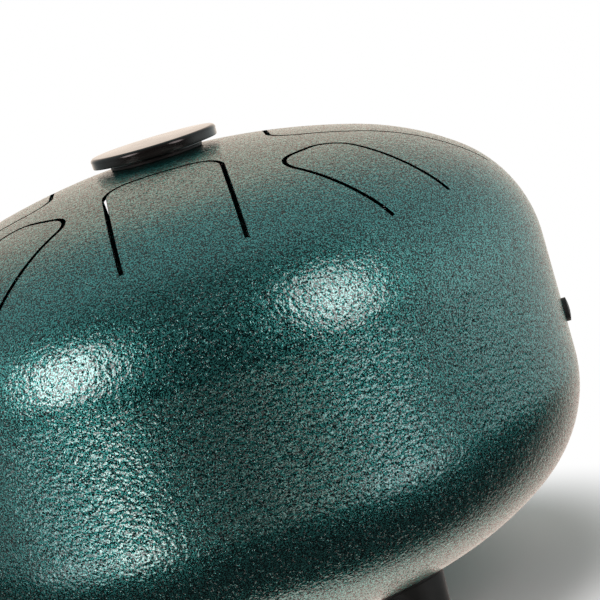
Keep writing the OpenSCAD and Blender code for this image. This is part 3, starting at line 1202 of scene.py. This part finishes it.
# %% Repeat it round the axis
def make_round_tree():
    kinds = [("Count", "NodeSocketInt"), ("Material", "NodeSocketMaterial")]
    tree, given, result = new_tree("round_the_axis", kinds)
    points = tree.nodes.new("GeometryNodePoints")
    index = tree.nodes.new("GeometryNodeInputIndex")
    step = tree.nodes.new("ShaderNodeMath")
    step.operation = "DIVIDE"
    step.inputs[0].default_value = math.tau
    turn = tree.nodes.new("ShaderNodeMath")
    turn.operation = "MULTIPLY"
    way = tree.nodes.new("ShaderNodeCombineXYZ")
    copies = tree.nodes.new("GeometryNodeInstanceOnPoints")
    wire(tree, [
        (given, "Count", points, "Count"),
        (given, "Count", step, 1),
        (step, 0, turn, 0),
        (index, 0, turn, 1),
        (turn, 0, way, "Z"),
        (points, 0, copies, "Points"),
        (given, "Geometry", copies, "Instance"),
        (way, 0, copies, "Rotation"),
    ])
    finish_tree(tree, given, result, copies, "Instances")
    return tree


feet = run_tree("rubber_feet", foot.data, make_round_tree(), {"Count": FOOT_COUNT, "Material": rubber})
tidy_faces(feet)
bpy.data.objects.remove(foot)
measure(feet)

# %% [markdown]
# ## Joining the pieces to the model
# Each new piece takes the place of its plain solid, which is hidden. Everything but
# the tongues rides on the drum's own body. The tongue plates stay where they were
# built, with their transforms applied. The fasteners and the weld keep the model's own
# shapes and only get a finish.

# %% Ride and replace
FLEX_RUN = 0.014


def stands_for(piece, slot_name, *nodes):
    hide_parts(*nodes)


for piece, slot_name, nodes in [
    (upper_head, "hammered_paint", ["upper_shell"]),
    (lower_head, "hammered_paint", ["lower_shell"]),
    (centre_cap, "cap_plastic", ["centre_cap"]),
    (cap_gasket, "black_rubber", ["cap_gasket"]),
    (port_edging, "black_rubber", ["port_trim"]),
    (side_plug, "black_rubber", ["side_plug"]),
    (feet, "black_rubber", ["foot_1", "foot_2", "foot_3", "foot_4"]),
]:
    stands_for(piece, slot_name, *nodes)
    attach(piece, "drum")

for sheet_piece in [upper_head] + tongue_plates:
    sheet_piece.data.materials.append(paint)

for i, (piece, slot) in enumerate(zip(tongue_plates, slots)):
    stands_for(piece, "hammered_paint", f"tongue_{i + 1}")
    radius, height, _, _ = skin(run_of(slot.root_at))
    root = Vector((*(slot.out * float(radius)), SEAM_Z + float(height)))
    inward = Vector((*(slot.out * -FLEX_RUN), 0))
    f"note_{i + 1}"
    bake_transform(piece)

for node, material in [
    ("seam_weld", weld), ("cap_washer", zinc), ("cap_screw", zinc),
    ("foot_washers", zinc), ("foot_screws", zinc), ("foot_nuts", zinc),
]:
    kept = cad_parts[node]
    if not kept.material_slots:
        kept.data.materials.append(material)
    for place in kept.material_slots:
        place.material = material

# %% [markdown]
# ## The studio
# The drum is a round mirror, so its paint shows the whole studio: a pale sheen along
# the crown and the rim from the far side of a white tent, a dark front, and two bright
# patches from two soft boxes. A cloth box is brightest in its middle, so each one is a
# wide oval lamp with a smaller one at its heart. The world paints the rest of the room
# by direction, as side walls, a warm back wall, a ceiling that is dimmer in front, and a
# pale table below. The camera itself sees plain white behind the drum. The floor only
# takes the shadow: reflections skip it, because the painted table stands for it there,
# and it is clear from below, so that the drum's underside can be looked at.

# %% The soft boxes
BOX_AWAY = 1.3
BOX_AIM = (0, 0, 0.15)
BOX_TINT = (1.0, 0.86, 0.845)
# Name, turn to the right and rise in degrees, width and height in metres, and watts
BOXES = [
    ("soft_box_right", 42.6, 23, 0.58, 1.12, 4.4),
    ("soft_box_right_heart", 42.4, 21, 0.34, 0.60, 0.6),
    ("soft_box_left", -47.4, 22, 0.70, 0.90, 4.9),
    ("soft_box_left_heart", -48.6, 20, 0.42, 0.62, 1.4),
]


def make_box(name, turn, rise, width, height, power):
    data = bpy.data.lights.new(name, "AREA")
    data.shape = "ELLIPSE"
    data.size = width
    data.size_y = height
    data.energy = power
    data.color = BOX_TINT
    box = bpy.data.objects.new(name, data)
    turn, rise = math.radians(turn), math.radians(rise)
    away = Vector((math.sin(turn) * math.cos(rise), -math.cos(turn) * math.cos(rise), math.sin(rise)))
    box.location = Vector(BOX_AIM) + away * BOX_AWAY
    box.rotation_euler = away.to_track_quat("Z", "Y").to_euler()
    bpy.context.scene.collection.objects.link(box)
    return box


boxes = [make_box(*given) for given in BOXES]
print("lamps:", [box.name for box in boxes])

# %% The room, painted by direction
WHITE = (1.0, 1.0, 1.0)
FRONT_WALL = (0.02, 0.022, 0.024)
LOWER_WALLS = [(0.34, 0.39, 0.39), (0.78, 0.86, 0.86)]
UPPER_WALLS = [(0.36, 0.43, 0.44), (0.46, 0.52, 0.53)]
BACK_WALL = [(1.38, 1.20, 1.04), (1.12, 0.89, 0.75)]
CEILING = [(0.085, 0.12, 0.12), (0.34, 0.47, 0.48)]
TABLE_DARK = (0.03, 0.032, 0.032)
TABLE_NEAR = (1.45, 1.55, 1.40)
TABLE_BACK = (1.45, 1.22, 1.10)
GLOW_LEFT = [(6.9, 6.7, 6.4), (2.6, 2.7, 2.7)]
GLOW_RIGHT = (2.5, 2.6, 2.6)
# Where one part gives way to the next, in degrees round from the camera's side
SIDES_FROM = (50, 90)
BACK_FROM = (130, 176)
TABLE_NEAR_TO = (20, 60)
TABLE_BACK_FROM = (112, 165)
GLOW_FROM = (28, 44)
GLOW_TO = (62, 90)
GLOW_RIGHT_TO = (52, 76)
GLOW_LEFT_DIMS = (42, 56)
# The same by height, on a scale where 1 is straight up, or straight down for the table
WALLS_RISE = (-0.1, 0.6)
BACK_RISE = (0.0, 0.6)
CEILING_FROM = (0.50, 0.92)
TABLE_FROM = (0.232, 0.250)
TABLE_NEAR_FADE = (0.22, 0.42)
GLOW_FADE = (0.25, 0.55)
# The same from left to right, and for the ceiling from front to back
RIGHT_SIDE = (-0.2, 0.2)
TABLE_NEAR_RIGHT = (0.0, 0.3)
CEILING_BACK = (-0.4, 0.3)
# The near table's share at the left, and what the right adds to it
TABLE_NEAR_LEAST = 0.40
TABLE_NEAR_MORE = 0.70


def swept(turn, first, last):
    """0 on this side of the first angle round the drum, 1 past the last, in degrees."""
    return turn.eased(math.radians(first), math.radians(last))


def paint_room(f, x, y, z):
    """The room's colour in a direction. The camera's side is -Y, and turn is the way round from it."""
    turn = f.node("ShaderNodeMath", {0: x, 1: 0 - y}, operation="ARCTAN2")
    turn = f.node("ShaderNodeMath", {0: turn}, operation="ABSOLUTE")
    down = 0 - z
    right = x.eased(*RIGHT_SIDE)
    sides = f.blend(z.eased(*WALLS_RISE), f.blend(right, *LOWER_WALLS), f.blend(right, *UPPER_WALLS))
    room = f.blend(swept(turn, *SIDES_FROM), FRONT_WALL, sides)
    back = f.blend(z.eased(*BACK_RISE), *BACK_WALL)
    room = f.blend(swept(turn, *BACK_FROM), room, back)
    ceiling = f.blend(y.eased(*CEILING_BACK), *CEILING)
    room = f.blend(z.eased(*CEILING_FROM), room, ceiling)
    near = (1 - swept(turn, *TABLE_NEAR_TO)) * (1 - down.eased(*TABLE_NEAR_FADE))
    near = near * (TABLE_NEAR_LEAST + x.eased(*TABLE_NEAR_RIGHT) * TABLE_NEAR_MORE)
    table = f.blend(near, TABLE_DARK, TABLE_NEAR)
    table = f.blend(swept(turn, *TABLE_BACK_FROM), table, TABLE_BACK)
    glow = swept(turn, *GLOW_FROM) * (1 - swept(turn, *GLOW_TO))
    glow = glow * (1 - right * swept(turn, *GLOW_RIGHT_TO))
    glow = glow * (1 - down.eased(*GLOW_FADE))
    left = f.blend(swept(turn, *GLOW_LEFT_DIMS), *GLOW_LEFT)
    table = f.blend(glow, table, f.blend(right, left, GLOW_RIGHT))
    return f.blend(down.eased(*TABLE_FROM), room, table)


def make_world():
    world = bpy.data.worlds.new("studio")
    world.use_nodes = True
    bpy.context.scene.world = world
    f = Finish(world.node_tree)
    way = f.node("ShaderNodeTexCoord", {}, "Generated")
    parts = f.node("ShaderNodeSeparateXYZ", {0: way}).socket.node
    x, y, z = (Value(f, socket) for socket in parts.outputs)
    seen = f.node("ShaderNodeLightPath", {}, "Is Camera Ray")
    lit = f.node("ShaderNodeBackground", {"Color": paint_room(f, x, y, z)})
    plain = f.node("ShaderNodeBackground", {"Color": WHITE})
    f.ends(f.mixed(seen, lit, plain), "World")
    return world


world = make_world()
print("world:", len(world.node_tree.nodes), "nodes")

# %% The floor that takes the shadow
FLOOR_HALF = 4
FLOOR_PAPER = (0.86, 0.86, 0.85)
SHADOW_FADE = (0.13, 0.20)


def make_floor():
    corners = [(x * FLOOR_HALF, y * FLOOR_HALF, 0) for x, y in [(-1, -1), (1, -1), (1, 1), (-1, 1)]]
    mesh = bpy.data.meshes.new("studio_floor")
    mesh.from_pydata(corners, [], [(0, 1, 2, 3)])
    floor = bpy.data.objects.new("studio_floor", mesh)
    bpy.context.scene.collection.objects.link(floor)
    material, f = new_material("studio_floor")
    away = f.vector("LENGTH", {0: f.place()}, "Value")
    seen = f.node("ShaderNodeLightPath", {}, "Is Camera Ray")
    paper = f.node("ShaderNodeBsdfDiffuse", {"Color": FLOOR_PAPER})
    white = f.node("ShaderNodeEmission", {"Color": WHITE})
    shown = f.mixed(away.eased(*SHADOW_FADE) * seen, paper, white)
    below = f.node("ShaderNodeNewGeometry", {}, "Backfacing")
    clear = f.node("ShaderNodeBsdfTransparent", {"Color": WHITE})
    f.ends(f.mixed(below, shown, clear))
    mesh.materials.append(material)
    floor.visible_glossy = False
    return floor


floor = make_floor()
bpy.context.scene.view_settings.view_transform = "Standard"
print("floor:", [round(v, 2) for v in floor.dimensions])
